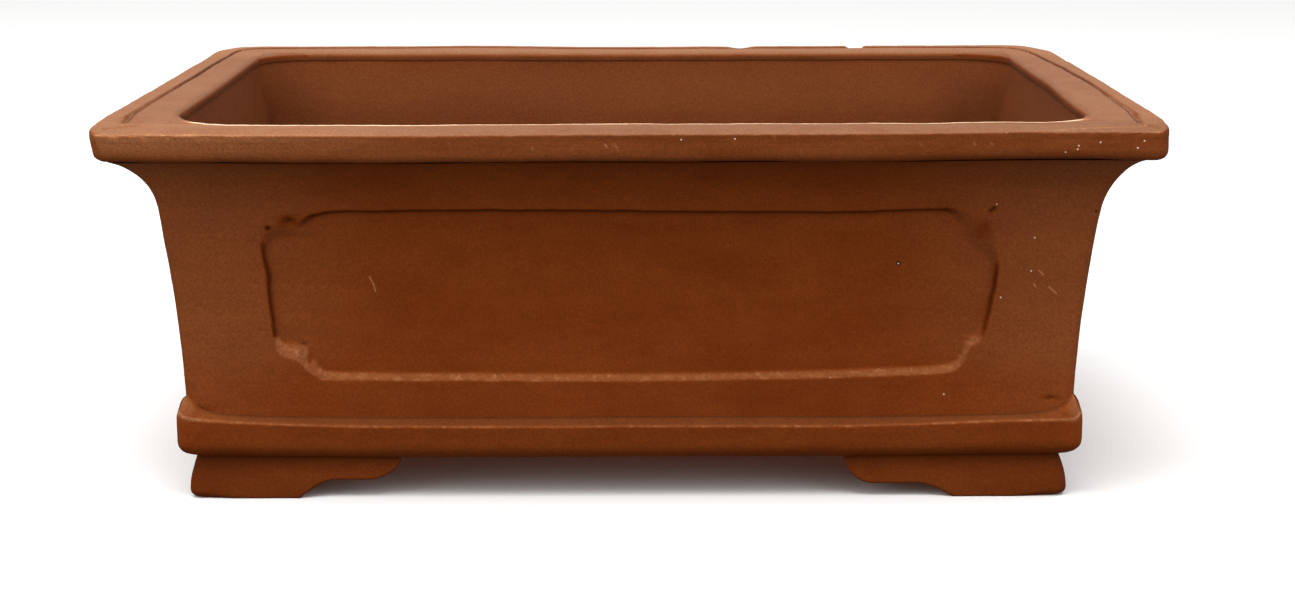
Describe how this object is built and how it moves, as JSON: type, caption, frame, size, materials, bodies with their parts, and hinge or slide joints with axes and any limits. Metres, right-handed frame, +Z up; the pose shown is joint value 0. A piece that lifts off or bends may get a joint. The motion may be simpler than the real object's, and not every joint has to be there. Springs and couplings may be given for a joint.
{
  "type": "rectangular bonsai pot",
  "caption": "Rectangular unglazed stoneware bonsai pot with a flared, grooved rim, sunk window panels, a belt at the base and cloud-cut corner feet.",
  "frame": {"origin": "on the ground under the middle of the pot", "axes": "+X along the pot's length, +Y from the front wall to the back wall, +Z up out of the mouth"},
  "size_m": [0.4, 0.3, 0.15],
  "materials": {
    "body_clay": "unglazed brown stoneware, matt, smoothed with a wet tool",
    "rim_clay": "unglazed brown stoneware, matt, paler where handling has worn and dusted it",
    "inner_clay": "unglazed brown stoneware, matt, as left inside and underneath"
  },
  "bodies": {
    "root": {"floor_slab": "inner_clay", "wall_front": "body_clay", "wall_right": "body_clay", "wall_back": "body_clay", "wall_left": "body_clay", "rim_front": "rim_clay", "rim_right": "rim_clay", "rim_back": "rim_clay", "rim_left": "rim_clay", "belt_front": "body_clay", "belt_right": "body_clay", "belt_back": "body_clay", "belt_left": "body_clay", "foot_front_left_face": "body_clay", "foot_front_left_side": "body_clay", "foot_front_right_face": "body_clay", "foot_front_right_side": "body_clay", "foot_back_left_face": "body_clay", "foot_back_left_side": "body_clay", "foot_back_right_face": "body_clay", "foot_back_right_side": "body_clay", "corner_coil_front_left": "inner_clay", "corner_coil_front_right": "inner_clay", "corner_coil_back_left": "inner_clay", "corner_coil_back_right": "inner_clay", "floor_coil_front": "inner_clay", "floor_coil_right": "inner_clay", "floor_coil_back": "inner_clay", "floor_coil_left": "inner_clay"}
  },
  "joints": []
}
